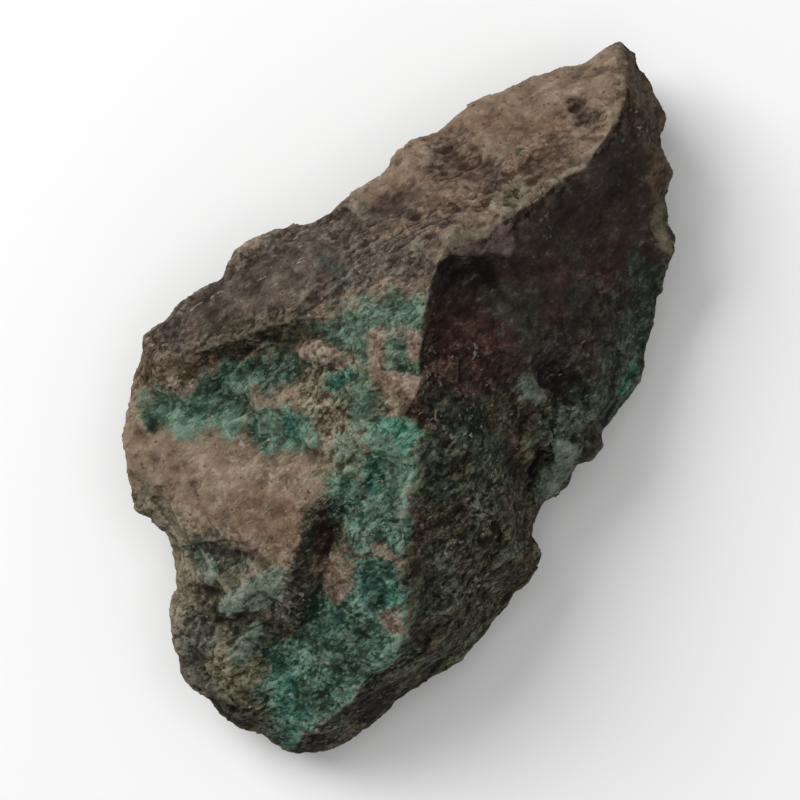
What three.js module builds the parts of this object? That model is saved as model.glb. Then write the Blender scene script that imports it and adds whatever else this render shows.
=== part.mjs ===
// A hand-sized piece of copper ore with chrysocolla on it, one natural stone with no other pieces.
// It lies on its broken underside with its crest up: a pale side slopes down to the left, a dark side to the right.
// The surface is worked out in three steps: fracture lines and corners read off a sketch grid, the flat
// facets between them, and then the roughness of the break over the whole stone.

import * as THREE from "three";
import { ConvexHull } from "three/addons/math/ConvexHull.js";
import { ImprovedNoise } from "three/addons/math/ImprovedNoise.js";
import { TessellateModifier } from "three/addons/modifiers/TessellateModifier.js";
import { mergeVertices } from "three/addons/utils/BufferGeometryUtils.js";

// Driving dimensions, in millimetres.
const LENGTH = 126; // from the low tip to the summit, across the plan
const TRIANGLE_EDGE = 3.5; // longest triangle edge before roughening

// The sketch grid: x to the right, y up the sheet, z above the table, all in squares.
const LENGTH_IN_SQUARES = 79;
const SQUARE = LENGTH / LENGTH_IN_SQUARES;

// The rim, where the top turns under into the underside: clockwise from the summit, as seen from above.
const rim = [
  // Right edge, from the summit down to the low tip
  [22.0, 35.8, 11], [23.6, 34.4, 10], [24.3, 32.1, 9.5], [25.2, 29.9, 10.5], [26.1, 28.0, 9],
  [25.8, 26.2, 9], [27.0, 23.8, 10], [27.8, 22.8, 9], [27.2, 20.0, 8], [26.9, 18.9, 9],
  [27.6, 16.4, 10], [27.1, 13.8, 9.5], [25.9, 10.0, 7.5], [25.1, 6.5, 7], [24.0, 2.4, 6],
  [22.6, -0.2, 6], [20.3, -3.0, 7.5], [20.3, -4.6, 8], [19.2, -5.8, 8.5], [17.3, -6.4, 8],
  [16.7, -8.4, 6.5], [14.5, -10.0, 6], [14.0, -11.6, 7], [13.2, -13.6, 8], [13.7, -15.8, 8.5],
  [12.9, -18.2, 7], [10.5, -21.0, 5.5], [8.6, -24.2, 5.5], [6.5, -26.3, 6.5], [3.2, -27.7, 6],
  [-0.2, -30.1, 4.5], [-4.0, -33.1, 5.5], [-7.5, -34.7, 5], [-11.5, -35.7, 4.5],
  // Left edge, from the low tip up to the broad left end
  [-13.8, -33.7, 5], [-16.2, -32.7, 6.5], [-18.3, -31.4, 7], [-19.1, -29.9, 8], [-21.5, -28.4, 9],
  [-21.9, -25.5, 9.5], [-22.8, -22.6, 9], [-22.9, -20.0, 8.5], [-22.4, -18.6, 8.5], [-22.8, -15.6, 8],
  [-24.8, -12.4, 9], [-27.0, -9.8, 10.5], [-27.5, -6.2, 11.5], [-27.8, -2.5, 10.5], [-27.2, 0.3, 9],
  [-26.2, 3.4, 10], [-25.6, 6.3, 11],
  // Upper edge, from the broad left end back to the summit
  [-23.0, 8.4, 12.5], [-19.7, 11.4, 14], [-17.9, 12.4, 14.5], [-16.5, 14.5, 15.5], [-14.0, 16.3, 15],
  [-11.0, 17.4, 14.5], [-7.0, 18.8, 15.5], [-5.0, 20.7, 16.5], [-2.0, 22.4, 16.5], [-0.3, 24.8, 15.5],
  [1.2, 26.0, 14.5], [3.7, 27.0, 14], [5.2, 28.7, 14.5], [8.0, 30.1, 15], [10.5, 30.8, 14.5],
  [13.0, 32.4, 14], [16.0, 33.5, 13.5], [18.5, 34.2, 12.5], [20.0, 35.2, 12],
];

// Fracture lines and corners of the top. Each list is one feature of the stone.
const topFeatures = {
  // The crest between the pale side and the dark side, from the summit to the low tip
  crest: [
    [21.4, 34.0, 15], [22.2, 32.2, 16], [22.4, 29.7, 17], [21.2, 27.8, 18.5], [19.7, 25.0, 20],
    [18.2, 22.8, 21], [16.0, 21.8, 22], [13.8, 20.2, 23], [11.2, 18.6, 24.5], [8.3, 16.5, 25.5],
    [4.7, 15.7, 27], [3.8, 13.2, 27.5], [2.7, 10.2, 28], [2.0, 7.8, 28.5], [2.1, 5.0, 28.5],
    [2.0, 2.2, 28.5], [1.4, 0.2, 28], [1.6, -2.5, 27.5], [1.3, -6.0, 27], [0.5, -10.0, 26],
    [0.2, -14.0, 25], [0.1, -18.0, 23.5], [0.4, -22.0, 21.5], [-0.3, -25.5, 19], [-2.5, -27.2, 17.5],
    [-5.0, -30.0, 14.5], [-8.2, -32.4, 11.5], [-10.8, -34.5, 8],
  ],
  // The violet shelf that breaks away below the crest, and the deep notch under it
  shelf: [[5.2, 13.9, 26.5], [9.0, 13.8, 24], [12.0, 16.0, 23]],
  notch: [[5.2, 12.4, 23.8], [8.4, 12.4, 22.0], [4.3, 10.2, 24.9], [3.4, 7.6, 26.0], [3.6, 4.6, 26.2], [7.2, 9.0, 22.6]],
  // The long dark side
  darkSide: [
    [24.2, 28.5, 13.5], [23.4, 25.2, 15.5], [25.2, 21.0, 12], [20.0, 20.0, 17], [16.0, 16.0, 19],
    [24.0, 16.0, 12.5], [10.5, 10.0, 20.5], [18.0, 11.0, 16.5], [23.0, 9.5, 11.5], [8.0, 5.0, 23],
    [14.5, 5.0, 19], [20.5, 4.0, 13.5], [15.5, 1.5, 15.5], [19.5, -0.5, 12], [12.0, -1.0, 19],
    [8.0, -4.5, 23], [12.5, -4.0, 17.5], [6.0, -10.0, 22.5], [11.0, -10.0, 16.5], [9.0, -14.5, 17],
    [5.0, -16.5, 20], [12.0, -16.0, 11], [6.0, -21.0, 15.5], [3.5, -24.5, 14.5], [0.5, -27.5, 12],
    [-3.3, -30.5, 10.5], [-7.0, -33.3, 8.5],
  ],
  // The pale green flake that stands up beside a crease near the right edge
  crease: [[14.8, -3.6, 13.5], [13.9, -5.8, 12], [13.3, -8.2, 11.5]],
  flake: [[16.2, -3.8, 14], [16.6, -6.0, 12.5], [14.6, -9.0, 10], [18.4, -4.2, 11]],
  // The tan slab at the top, with a pit near the summit and a pitted hollow half way down
  slab: [
    [8.0, 26.5, 18], [12.5, 27.0, 18], [16.5, 30.5, 16.5], [19.0, 30.0, 17.5], [16.8, 28.6, 17],
    [16.0, 25.2, 19.5], [6.5, 22.6, 20], [10.0, 23.0, 21.5], [3.5, 19.5, 22], [-0.5, 20.0, 18.5],
    [0.5, 14.5, 24.5], [-3.0, 16.0, 20.5], [7.0, 19.5, 24],
  ],
  // The grey-violet band on the left, down to its broken lip, and the foot of that step
  band: [[-10.0, 15.5, 17], [-15.0, 12.5, 16], [-10.0, 11.0, 20], [-5.5, 11.5, 22.5], [-20.0, 8.5, 14.5]],
  lip: [
    [-20.5, 4.6, 15.5], [-17.2, 5.8, 17.5], [-13.8, 7.1, 19.5], [-11.8, 7.4, 20.4], [-9.4, 8.3, 21.8],
    [-7.2, 8.0, 22.8], [-4.6, 9.6, 24.6],
  ],
  lipFoot: [[-17.0, 4.4, 14.8], [-13.8, 5.2, 16.4], [-10.8, 5.8, 18.4], [-8.0, 6.4, 21.4], [-5.2, 7.4, 24.0]],
  brownLumps: [[-24.0, 4.0, 14], [-22.3, 1.6, 14.5], [-25.0, 1.0, 12], [-20.6, 2.8, 14.5]],
  // The trough with the first green patch, below the band
  trough: [
    [-25.7, -0.6, 10.6], [-24.4, -2.2, 11.2], [-22.4, -0.6, 11.8], [-20.0, -1.2, 12.8], [-16.6, -0.4, 14.4],
    [-17.4, 1.8, 13.8], [-14.2, 3.4, 15.6], [-11.6, 3.4, 17.6],
  ],
  // The tan plateau: its upper edge over the trough, its surface, and the edge over the dark wall
  plateauEdge: [[-26.0, -2.0, 12], [-24.8, -3.6, 12.5], [-22.0, -2.9, 14], [-18.5, -2.5, 15.5], [-15.8, -1.6, 17]],
  plateau: [[-24.0, -8.0, 13.5], [-18.0, -7.0, 17.5], [-12.0, -6.5, 20.5], [-22.0, -12.0, 13.5], [-16.0, -12.0, 18]],
  wallTop: [
    [-6.5, -9.0, 24], [-8.0, -10.4, 23.3], [-9.5, -12.5, 22.2], [-10.5, -15.0, 20.8], [-10.9, -18.0, 19],
    [-11.4, -21.0, 16.8],
  ],
  wallFoot: [[-6.2, -11.6, 20.8], [-6.9, -14.5, 19], [-7.8, -17.5, 17], [-8.6, -20.5, 15.2], [-10.2, -23.5, 13.5]],
  // Tan lump and knobbly vein in the middle, with the second green hollow between them
  lump: [[-14.4, 1.5, 17.4], [-12.4, 1.2, 19.0], [-11.2, -0.6, 19.6], [-9.8, 2.6, 20.6], [-9.2, 5.0, 21.4], [-14.8, -0.8, 17.4]],
  greenHollow: [[-10.6, -2.8, 18.9], [-13.6, -3.6, 17.2], [-9.4, -4.6, 20.4]],
  vein: [
    [-7.8, 4.8, 23.6], [-8.0, 1.6, 22.6], [-7.6, -0.8, 23.4], [-6.2, 2.0, 22.9], [-7.4, -3.4, 22.9],
    [-5.0, -5.6, 24.8], [-4.2, 0.4, 25.4], [-5.4, 5.4, 24.4], [-4.6, 3.2, 25.2],
  ],
  // The green and teal slope between the dark wall and the crest
  greenSlope: [
    [-2.0, 8.5, 26.5], [-1.0, 4.0, 27.5], [-2.2, -3.5, 26.5], [-3.5, -9.5, 23.5], [-3.2, -14.0, 23],
    [-4.0, -18.5, 20.5], [-5.0, -22.5, 18], [-7.0, -25.5, 15], [-10.5, -28.5, 12], [-5.0, -26.8, 16],
  ],
  // The lumpy low end on the left: knobs, hollows, a pale green plate and the broken corner under it
  lowEnd: [
    [-20.0, -15.0, 14], [-19.0, -17.2, 14.8], [-19.2, -19.2, 12], [-16.4, -15.4, 15.5], [-13.8, -14.8, 18.8],
    [-11.8, -17.6, 18.6], [-16.2, -19.6, 15.8], [-17.4, -21.8, 12.8], [-13.6, -21.6, 14.8],
    [-20.2, -22.6, 12.8], [-20.0, -25.4, 10.8], [-17.4, -25.2, 13], [-14.6, -24.2, 12.2], [-12.4, -26.0, 12],
    [-18.8, -28.6, 10.6], [-15.2, -28.4, 12], [-16.6, -30.4, 10.2], [-14.6, -31.6, 9.5], [-12.6, -32.2, 9.4],
  ],
};

// The underside: rings of corners that follow the rim, drawn in towards the long axis of the stone and
// lowered to a share of the rim's height, and the broad break inside them that the stone lies on.
// The break dips just below the table and is cut off level there, so the stone sits on an uneven flat
// with shallow hollows in it.
const LONG_AXIS = new THREE.Line3(new THREE.Vector3(-12, -27, 0), new THREE.Vector3(18, 25, 0));
const undersideRings = [
  { every: 2, drawnIn: 0.13, height: 0.5 },
  { every: 3, drawnIn: 0.3, height: 0.13 },
];
const seat = [
  [15.0, 21.0, -0.8], [17.0, 13.0, -0.8], [14.0, 5.0, -0.8], [9.5, -4.0, -0.8], [5.0, -13.0, -0.8],
  [0.5, -21.0, -0.8], [-7.5, -24.5, -0.8], [-13.0, -17.0, -0.8], [-15.5, -8.0, -0.8], [-11.5, 1.0, -0.8],
  [-2.0, 7.5, -0.8], [4.0, 14.0, -0.8], [0.0, 0.0, -1.2], [7.0, 5.5, -1.2], [-4.0, -16.0, -1.2],
];
const seatHollows = [
  [12.5, 20.0, 1.2], [10.5, 16.5, 1.5], [-10.5, -6.0, 1.6], [-8.0, -10.5, 1.2], [7.5, -6.0, 0.9], [-10.5, -20.5, 1.0],
];

// Roughness of the break: lumps, then bumps, then grain. Size is the spacing of the relief in
// millimetres and height how far it stands off the flat facets. The rock is layered, so its relief
// runs along the layers: sizes are stretched by GRAIN_STRETCH along GRAIN_ANGLE.
const ROUGHNESS = [
  { size: 12, height: 1.3 },
  { size: 5.5, height: 0.95 },
  { size: 3, height: 0.55 },
];
const GRAIN_ANGLE = THREE.MathUtils.degToRad(32);
const GRAIN_STRETCH = 1.5;

const perlin = new ImprovedNoise();

function undersideRing({ every, drawnIn, height }) {
  return rim
    .filter((_, i) => i % every === 0)
    .map(([x, y, z]) => {
      const onRim = new THREE.Vector3(x, y, 0);
      const onAxis = LONG_AXIS.closestPointToPoint(onRim, true, new THREE.Vector3());
      const uneven = 1 + perlin.noise(x / 5, y / 5, drawnIn);
      const corner = onRim.lerp(onAxis, drawnIn * uneven);
      return [corner.x, corner.y, (z * height) / uneven];
    });
}

function isInsideRim(x, y) {
  let inside = false;
  rim.forEach(([x1, y1], i) => {
    const [x2, y2] = rim[(i + 1) % rim.length];
    if (y1 > y !== y2 > y && x < x1 + ((y - y1) * (x2 - x1)) / (y2 - y1)) inside = !inside;
  });
  return inside;
}

// Delaunay triangles over the plan of one side of the stone: lifted onto a paraboloid, the corners'
// convex hull has exactly those triangles on its lower side. Triangles across a bay of the rim go.
function planTriangles(corners) {
  const lifted = corners.map(([x, y]) => new THREE.Vector3(x, y, (x * x + y * y) / 50));
  const triangles = [];
  for (const face of new ConvexHull().setFromPoints(lifted).faces) {
    if (face.normal.z > -1e-6) continue;
    const triangle = [0, 1, 2].map((i) => lifted.indexOf(face.getEdge(i).head().point));
    const [x, y] = [0, 1].map((axis) => triangle.reduce((sum, i) => sum + corners[i][axis] / 3, 0));
    if (isInsideRim(x, y)) triangles.push(triangle);
  }
  return triangles;
}

// One side of the stone as loose triangles in millimetres. Hull faces on the lower side wind clockwise
// as seen from above, which is right for the underside and is turned round for the top.
function sideTriangles(innerCorners, isTop) {
  const corners = [...rim, ...innerCorners];
  return planTriangles(corners).flatMap((triangle) => {
    const wound = isTop ? [...triangle].reverse() : triangle;
    return wound.flatMap((i) => corners[i].map((squares) => squares * SQUARE));
  });
}

function facetedStone() {
  const positions = [
    ...sideTriangles(Object.values(topFeatures).flat(), true),
    ...sideTriangles([...undersideRings.flatMap(undersideRing), ...seat, ...seatHollows], false),
  ];
  const geometry = new THREE.BufferGeometry();
  geometry.setAttribute("position", new THREE.Float32BufferAttribute(positions, 3));
  return geometry;
}

function relief(point) {
  const along = point.x * Math.cos(GRAIN_ANGLE) + point.y * Math.sin(GRAIN_ANGLE);
  const across = point.y * Math.cos(GRAIN_ANGLE) - point.x * Math.sin(GRAIN_ANGLE);
  return ROUGHNESS.reduce(
    (sum, { size, height }, layer) =>
      sum + height * perlin.noise(along / (size * GRAIN_STRETCH) + 40, across / size + 17 * layer, point.z / size),
    0,
  );
}

// Pushes each vertex in or out along its own normal, and cuts the underside off level at the table.
function roughen(geometry) {
  geometry.computeVertexNormals();
  const position = geometry.getAttribute("position");
  const normal = geometry.getAttribute("normal");
  for (let i = 0; i < position.count; i++) {
    const point = new THREE.Vector3().fromBufferAttribute(position, i);
    const outward = new THREE.Vector3().fromBufferAttribute(normal, i);
    point.addScaledVector(outward, relief(point));
    position.setXYZ(i, point.x, point.y, Math.max(point.z, 0));
  }
  geometry.computeVertexNormals();
}

// Moves the stone so that the middle of its bounding box is over the origin, with its seat at z = 0.
function centreOverOrigin(geometry) {
  geometry.computeBoundingBox();
  const middle = geometry.boundingBox.getCenter(new THREE.Vector3());
  geometry.translate(-middle.x, -middle.y, 0);
}

const split = new TessellateModifier(TRIANGLE_EDGE, 20).modify(facetedStone());
const stoneGeometry = mergeVertices(split);
roughen(stoneGeometry);
centreOverOrigin(stoneGeometry);

const stone = new THREE.Mesh(
  stoneGeometry,
  new THREE.MeshStandardMaterial({ color: 0x6b5d50, roughness: 0.9, metalness: 0 }),
);
stone.name = "stone";

const specimen = new THREE.Group();
specimen.add(stone);

export default specimen;
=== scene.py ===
import math

import bmesh
import bpy
import numpy as np
from mathutils import Matrix, Vector, noise


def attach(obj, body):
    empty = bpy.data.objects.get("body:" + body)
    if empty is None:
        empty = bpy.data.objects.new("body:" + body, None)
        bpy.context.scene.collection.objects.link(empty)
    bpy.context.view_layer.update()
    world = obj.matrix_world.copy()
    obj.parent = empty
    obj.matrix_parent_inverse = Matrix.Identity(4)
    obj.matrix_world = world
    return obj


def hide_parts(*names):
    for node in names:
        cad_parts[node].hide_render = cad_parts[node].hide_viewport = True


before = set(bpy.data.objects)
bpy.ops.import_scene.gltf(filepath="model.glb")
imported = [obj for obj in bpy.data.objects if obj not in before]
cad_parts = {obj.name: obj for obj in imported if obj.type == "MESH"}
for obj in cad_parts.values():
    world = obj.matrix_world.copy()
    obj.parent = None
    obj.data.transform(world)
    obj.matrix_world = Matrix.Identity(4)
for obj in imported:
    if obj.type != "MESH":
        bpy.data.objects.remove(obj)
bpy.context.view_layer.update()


# The camera looks straight down on the stone from one metre, as the photograph was taken.
# The frame is 127.6 mm wide at the height of the stone's rim. The stone's features are placed on
# the same sketch grid as its solid: x to the right and y up the picture, in squares of 1.595 mm.
SQUARE = 0.126 / 79
FRAME_SQUARES = 80
SKETCH_ORIGIN = Vector((-0.00005, -0.0003, 0))
CAMERA_HEIGHT = 1.0
RIM_HEIGHT = 0.014
SENSOR_WIDTH = 36

camera_data = bpy.data.cameras.new("camera")
camera_data.sensor_width = SENSOR_WIDTH
camera_data.lens = SENSOR_WIDTH * CAMERA_HEIGHT / (FRAME_SQUARES * SQUARE)
camera_data.clip_start = 0.05
camera_data.clip_end = 20
camera = bpy.data.objects.new("camera", camera_data)
camera.location = SKETCH_ORIGIN + Vector((0, 0, RIM_HEIGHT + CAMERA_HEIGHT))
bpy.context.scene.collection.objects.link(camera)
bpy.context.scene.camera = camera


# The stone's body: one hand-sized piece of layered copper ore, broken on every side.
# Its skin starts from the faceted solid, made even and slightly worn. Chips, ledges, pits and grain
# are then raised out of it, running along the layers of the rock, and its seat stays flat.
SKIN_CELL = 0.00033
WEAR_STEPS = 3
SKIN_TRIANGLES = 190000
LAYER_ANGLE = math.radians(32)
LAYER_STRETCH = 1.8
MM = 1000
HALF = (0.5, 0.5, 0.5)

# Shares and sizes in mm of what is raised, with shifts that keep the cells of one size off the next
CHIPS = [(0.1, 9.0, (0, 0, 0)), (0.13, 3.8, (40, 7, 3)), (0.12, 1.9, (20, 17, 5))]
LEDGE_SHARE = 0.5
LEDGE_SIZE = 9.0
LEDGE_SHIFT = Vector((11, 5, 60))
LEDGE_STEPS = 3.5
LEDGE_FLAT = 0.72
WRINKLE_SHARE = 0.1
WRINKLE_SIZES = (5.0, 2.2, 4.0)
NIBBLE_SHARE = 0.45
NIBBLE_SIZE = 1.6
NIBBLE_SHIFT = Vector((3, 27, 8))
STEEP_NIBBLES = 0.7
PITS = [(0.75, 2.1, (0, 0, 0)), (0.5, 1.3, (9, 9, 9))]
PIT_CHANCE = 0.28
KNOB_SHARE = 0.36
KNOB_SIZE = 1.8
SEAT_FADE = 0.0012

# The wandering of the borders is drawn once and for all
NOISE_SEED = 7
noise.seed_set(NOISE_SEED)

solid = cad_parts["stone"]
rough = bmesh.new()
rough.from_mesh(solid.data)
bmesh.ops.remove_doubles(rough, verts=rough.verts, dist=1e-6)
blank = bpy.data.meshes.new("blank")
rough.to_mesh(blank)
rough.free()
blank_object = bpy.data.objects.new("blank", blank)
bpy.context.scene.collection.objects.link(blank_object)
even_skin = blank_object.modifiers.new("even skin", "REMESH")
even_skin.mode = "VOXEL"
even_skin.voxel_size = SKIN_CELL
evaluated = blank_object.evaluated_get(bpy.context.evaluated_depsgraph_get())
skin = bpy.data.meshes.new_from_object(evaluated)
bpy.data.objects.remove(blank_object)

worn = bmesh.new()
worn.from_mesh(skin)
for _ in range(WEAR_STEPS):
    bmesh.ops.smooth_vert(
        worn, verts=worn.verts, factor=0.5, use_axis_x=True, use_axis_y=True, use_axis_z=True,
    )
worn.normal_update()


def in_layers(point):
    along = point.x * math.cos(LAYER_ANGLE) + point.y * math.sin(LAYER_ANGLE)
    across = point.y * math.cos(LAYER_ANGLE) - point.x * math.sin(LAYER_ANGLE)
    return Vector((along / LAYER_STRETCH, across, point.z))


def chip_height(point, size):
    """Flat chips with random slopes, as a hammer leaves them."""
    distances, centres = noise.voronoi(point / size)
    slope = noise.cell_vector(centres[0] * 91.7) - Vector(HALF)
    return size * ((point / size - centres[0]).dot(slope) + 0.3 * slope.x)


def ledge_height(point, size):
    """Broken layers: a slow rise that ends in small steps."""
    rise = LEDGE_STEPS * noise.fractal(point / size, 0.9, 2.1, 3)
    step = math.floor(rise)
    part = rise - step
    return (step + min(1, max(0, (part - LEDGE_FLAT) / (1 - LEDGE_FLAT)))) / LEDGE_STEPS


def pit_depth(point, size):
    """Round holes in some of the cells."""
    distances, centres = noise.voronoi(point / size)
    if noise.cell(centres[0] * 53.1) > PIT_CHANCE:
        return 0
    return max(0, 1 - distances[0] / 0.5) ** 0.7


def distance_to_line(x, y, x1, y1, x2, y2):
    """How far places are from the straight line between two points."""
    dx, dy = x2 - x1, y2 - y1
    share = np.clip(((x - x1) * dx + (y - y1) * dy) / max(dx * dx + dy * dy, 1e-9), 0, 1)
    return np.hypot(x - x1 - share * dx, y - y1 - share * dy)


def stroke_field(x, y, strokes):
    """How far inside the nearest stroke a place is: 1 on its line, 0 at its edge, down to -1 outside."""
    field = np.full(len(x), -1.0)
    for *line, width in strokes:
        field = np.maximum(field, 1 - distance_to_line(x, y, *line) / width)
    return field


def zone(x, y, strokes, rise=2.0, start=0.3):
    """1 in the strokes, fading to 0 outside their edges."""
    return np.clip(stroke_field(x, y, strokes) * rise + start, 0, 1)


# Places on the sketch grid, each a stroke from one point to another with a width.
# Pits crowd the hollow of the tan slab, the spot below the summit and the knobbly vein.
PITTED = [
    (4.4, 23.4, 8.8, 22.2, 2.3), (16.8, 28.8, 19.4, 28.4, 1.5), (8.0, 19.4, 13.5, 21.4, 1.5),
    (-3.5, 15.8, 3.0, 17.0, 2.0), (-8.4, 3.5, -7.2, -1.5, 1.5), (-7.0, -1.0, -5.6, -5.5, 1.7),
]
# The break is powdery and smooth on the tan slab, the purple plate, the plateau, the facet under the
# summit and the grey-violet band.
POWDERY = [
    (6, 27, 19, 33, 5.0), (-2, 20, 8, 25, 4.0), (10, 12, 22, 22, 7.5), (20, 24, 24, 16, 4.0),
    (-24, -5, -14, -10, 4.5), (-16, -4, -9, -7, 3.0), (24, 34, 26.5, 22, 2.5),
    (-19.0, 8.8, -8.0, 14.0, 2.6),
]
# Lumps crowd the vein, the brown corner, the tan lump and the foot of the slab.
KNOBBLY = [
    (-8.4, 3.8, -7.2, -1.5, 2.2), (-7.0, -1.0, -5.6, -6.0, 2.4), (-24, 4, -21, 2, 3.5),
    (-13.5, 0.5, -11, 0, 2.5), (3.5, 16.4, 10.0, 19.6, 1.8),
]
# The crest is nibbled, and the low left corner is broken into small blocks.
JAGGED = [
    (22.4, 30.5, 19.7, 25.2, 1.3), (19.7, 25.2, 13.8, 20.0, 1.3), (13.8, 20.0, 8.3, 16.0, 1.3),
    (8.3, 16.0, 3.0, 11.6, 1.1), (3.0, 11.6, 2.0, 5.0, 1.0), (-19.5, -22.0, -14.5, -29.0, 4.0),
    (-2.8, -27.6, -8.2, -32.6, 1.1), (4.0, -6.0, 8.0, -20.0, 3.0),
]
# Small forms on the break, in mm: plates, blocks and knobs that stand proud, and hollows and gaps.
PROUD_FORMS = {
    "pale green plate": (0.45, [(-17.0, -20.4, -11.6, -17.4, 1.3)]),
    "loose green flake": (0.6, [(16.7, -5.2, 14.7, -9.0, 1.4)]),
    "tan lump": (0.4, [(-14.0, 0.2, -11.2, 0.2, 1.6)]),
    "slate lump": (0.4, [(-18.2, -24.6, -16.6, -26.0, 1.4)]),
    "white knob": (0.5, [(-18.8, -17.3, -18.8, -17.4, 0.9)]),
    "edge knob": (0.5, [(17.6, -4.8, 19.8, -5.2, 1.3)]),
    "pink knob": (0.45, [(-8.6, 4.9, -7.2, 4.6, 1.1)]),
    "pink blocks": (0.25, [(-1.4, 5.8, -1.2, 2.8, 1.1), (1.3, 6.4, 1.4, 4.2, 0.9)]),
    "low pink block": (0.25, [(0.2, -0.6, 1.0, -1.8, 0.9)]),
    "violet shelf": (0.35, [(5.2, 15.3, 10.2, 15.3, 1.3)]),
}
SUNKEN_FORMS = {
    "teal pocket": (0.25, [(-6.2, 2.0, -6.2, 1.9, 1.2)]),
    "blue facet": (0.3, [(-2.9, -17.2, -1.2, -18.6, 1.7)]),
    "gap beside the flake": (0.6, [(13.9, -4.8, 12.9, -8.6, 0.45)]),
    "slot at the left edge": (0.15, [(-19.9, -19.0, -18.4, -19.2, 0.5)]),
    "slot under the plateau": (0.15, [(-16.2, -14.9, -13.8, -15.3, 0.5)]),
    "hollow of the slab": (0.35, [(4.6, 23.5, 8.4, 22.3, 1.6)]),
    "pit below the summit": (0.3, [(17.2, 29.0, 19.0, 28.0, 0.9)]),
    "dark dent": (0.25, [(-7.4, 15.5, -6.4, 11.5, 1.7)]),
    "green hollow": (0.5, [(14.8, 2.4, 17.4, 0.6, 1.5)]),
}

count = len(worn.verts)
places = np.array([vert.co for vert in worn.verts])
normals = np.array([vert.normal for vert in worn.verts])
wander = np.array([noise.turbulence_vector(Vector(p) * MM / 3.0, 3, False) for p in places])
sketch_x = (places[:, 0] - SKETCH_ORIGIN.x) / SQUARE + 0.6 * wander[:, 0]
sketch_y = (places[:, 1] - SKETCH_ORIGIN.y) / SQUARE + 0.6 * wander[:, 1]
upward = np.clip((normals[:, 2] + 0.1) / 0.4, 0, 1)
pitted = upward * zone(sketch_x, sketch_y, PITTED)
knobbly = upward * zone(sketch_x, sketch_y, KNOBBLY)
steep = np.clip(1 - np.abs(normals[:, 2]) / 0.5, 0, 1)
jagged = np.maximum(upward * zone(sketch_x, sketch_y, JAGGED), STEEP_NIBBLES * steep)
chipped = 1 - 0.75 * upward * zone(sketch_x, sketch_y, POWDERY, start=0.2)
forms = np.zeros(count)
for sign, named_forms in ((1, PROUD_FORMS), (-1, SUNKEN_FORMS)):
    for height, strokes in named_forms.values():
        forms += sign * height * np.clip(stroke_field(sketch_x, sketch_y, strokes) / 0.35, 0, 1)

relief = forms * upward
for i, vert in enumerate(worn.verts):
    point = vert.co * MM
    layered = in_layers(point)
    chips = sum(share * chip_height(layered + Vector(shift), size) for share, size, shift in CHIPS)
    ledges = LEDGE_SHARE * ledge_height(layered + LEDGE_SHIFT, LEDGE_SIZE)
    folds = Vector([value / size for value, size in zip(layered, WRINKLE_SIZES)])
    wrinkles = WRINKLE_SHARE * noise.fractal(folds, 0.9, 2.0, 4)
    relief[i] += chipped[i] * (chips + ledges) + wrinkles
    if jagged[i] > 0:
        nibbles = chip_height(layered + NIBBLE_SHIFT, NIBBLE_SIZE)
        relief[i] += jagged[i] * NIBBLE_SHARE * nibbles
    if pitted[i] > 0:
        pits = sum(share * pit_depth(layered + Vector(shift), size) for share, size, shift in PITS)
        relief[i] -= pitted[i] * pits
    if knobbly[i] > 0:
        knobs = KNOB_SHARE * noise.turbulence(point / KNOB_SIZE, 3, True)
        relief[i] += knobbly[i] * (knobs - KNOB_SHARE / 2)

seat_share = np.clip(places[:, 2] / SEAT_FADE, 0, 1)
places += normals * (relief * seat_share / MM)[:, None]
places[:, 2] = np.maximum(places[:, 2], 0)
worn.to_mesh(skin)
worn.free()
skin.vertices.foreach_set("co", places.ravel())

# Fewer, larger triangles where the skin is flat
full_stone = bpy.data.objects.new("full stone", skin)
bpy.context.scene.collection.objects.link(full_stone)
thinned = full_stone.modifiers.new("thinned", "DECIMATE")
thinned.ratio = min(1, SKIN_TRIANGLES / (2 * len(skin.polygons)))
evaluated = full_stone.evaluated_get(bpy.context.evaluated_depsgraph_get())
stone_mesh = bpy.data.meshes.new_from_object(evaluated)
bpy.data.objects.remove(full_stone)

# The even skin can hold a stray closed cell inside the stone: only what joins the summit stays
outer_skin = bmesh.new()
outer_skin.from_mesh(stone_mesh)
summit = max(outer_skin.verts, key=lambda vert: vert.co.z)
joined = {summit}
front = [summit]
while front:
    vert = front.pop()
    for edge in vert.link_edges:
        other = edge.other_vert(vert)
        if other not in joined:
            joined.add(other)
            front.append(other)
stray = [vert for vert in outer_skin.verts if vert not in joined]
bmesh.ops.delete(outer_skin, geom=stray, context="VERTS")
outer_skin.to_mesh(stone_mesh)
outer_skin.free()
stone_mesh.shade_smooth()

stone = bpy.data.objects.new("chrysocolla_stone", stone_mesh)
bpy.context.scene.collection.objects.link(stone)
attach(stone, "root")
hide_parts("stone")

# How far each place stands proud of its surroundings, in mm, near and far
count = len(stone_mesh.vertices)
places = np.zeros(3 * count)
stone_mesh.vertices.foreach_get("co", places)
places = places.reshape(-1, 3)
normals = np.zeros(3 * count)
stone_mesh.vertices.foreach_get("normal", normals)
normals = normals.reshape(-1, 3)
edges = np.zeros(2 * len(stone_mesh.edges), int)
stone_mesh.edges.foreach_get("vertices", edges)
starts, ends = edges.reshape(-1, 2).T
neighbours = np.bincount(starts, minlength=count) + np.bincount(ends, minlength=count)


def averaged(points, rounds):
    for _ in range(rounds):
        total = np.zeros_like(points)
        for axis in range(3):
            total[:, axis] = np.bincount(starts, points[ends, axis], count)
            total[:, axis] += np.bincount(ends, points[starts, axis], count)
        points = 0.5 * points + 0.5 * total / neighbours[:, None]
    return points


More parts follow.
